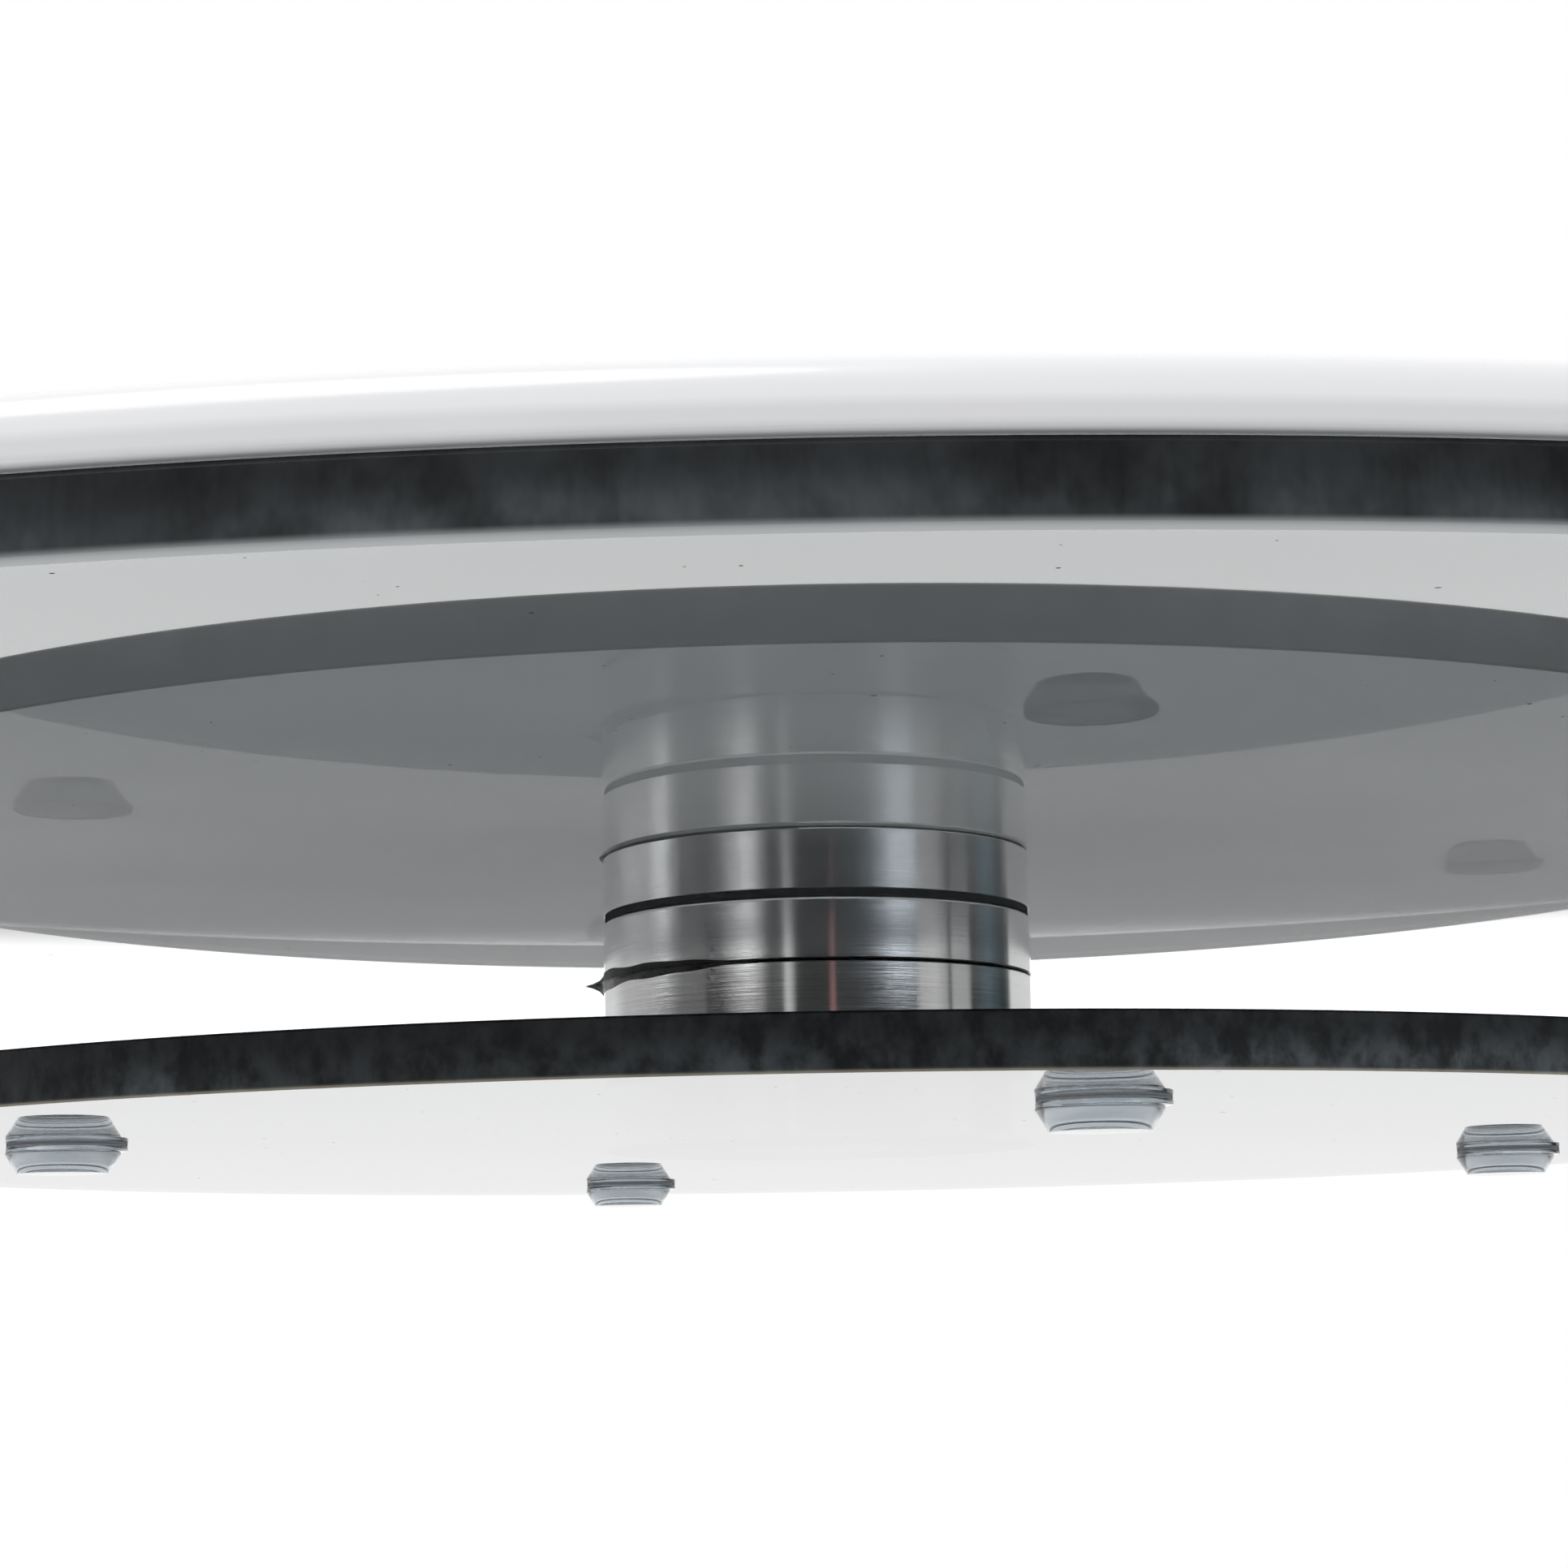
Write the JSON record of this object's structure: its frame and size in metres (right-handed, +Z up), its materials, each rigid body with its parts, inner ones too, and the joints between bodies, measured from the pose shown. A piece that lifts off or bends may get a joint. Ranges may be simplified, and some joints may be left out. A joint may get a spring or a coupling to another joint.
{
  "type": "banding wheel",
  "caption": "Low banding wheel: a round glass wheel head with a white work plate spins on a bonded aluminium ball bearing above a smaller glass base on clear bumper feet.",
  "frame": {"origin": "bottom centre: on the spin axis, in the plane of the soles of the feet", "axes": "+Z up along the spin axis; -Y towards the viewer of the usual front view, +X to their right"},
  "size_m": [0.45, 0.45, 0.0332],
  "materials": {
    "base_glass": "clear float glass with a dark ground edge",
    "wheel_glass": "clear float glass with a dark ground edge, seen against the grey film behind it",
    "white_plate": "polished white with a rounded rim",
    "film": "grey bonding film",
    "turned_aluminium": "fine-turned and polished",
    "adhesive": "cured adhesive, dark at the joint line",
    "bearing_steel": "hardened and ground",
    "ball_steel": "polished bearing balls",
    "cage_brass": "stamped and drilled",
    "bronze": "sintered bronze, oiled",
    "black_steel": "black oxide",
    "zinc_steel": "zinc plated",
    "spring_steel": "blued spring steel",
    "nylon": "natural nylon",
    "felt": "black felt",
    "clear_bumper": "clear soft polyurethane",
    "pad_adhesive": "clear acrylic adhesive"
  },
  "bodies": {
    "base": {"base_glass": "base_glass", "base_bond": "adhesive", "lower_housing": "turned_aluminium", "lower_race": "bearing_steel", "centre_bolt": "black_steel", "nylon_washer": "nylon", "disc_spring": "spring_steel", "lock_nut": "zinc_steel", "dust_seal": "felt", "foot_1": "clear_bumper", "foot_2": "clear_bumper", "foot_3": "clear_bumper", "foot_4": "clear_bumper", "foot_pad_1": "pad_adhesive", "foot_pad_2": "pad_adhesive", "foot_pad_3": "pad_adhesive", "foot_pad_4": "pad_adhesive"},
    "cage": {"ball_cage": "cage_brass", "bearing_balls": "ball_steel"},
    "wheel": {"upper_housing": "turned_aluminium", "upper_race": "bearing_steel", "centre_bush": "bronze", "upper_bond": "adhesive", "wheel_glass": "wheel_glass", "plate_film": "film", "work_plate": "white_plate"}
  },
  "joints": [
    {"name": "wheel_spin", "type": "hinge", "parent": "base", "child": "wheel", "pos_m": [0, 0, 0.01555], "axis": [0, 0, 1], "continuous": true},
    {"name": "cage_spin", "type": "hinge", "parent": "base", "child": "cage", "pos_m": [0, 0, 0.01555], "axis": [0, 0, 1], "continuous": true}
  ],
  "couplings": [
    {"joint": "cage_spin", "follows": "wheel_spin", "ratio": 0.5}
  ]
}
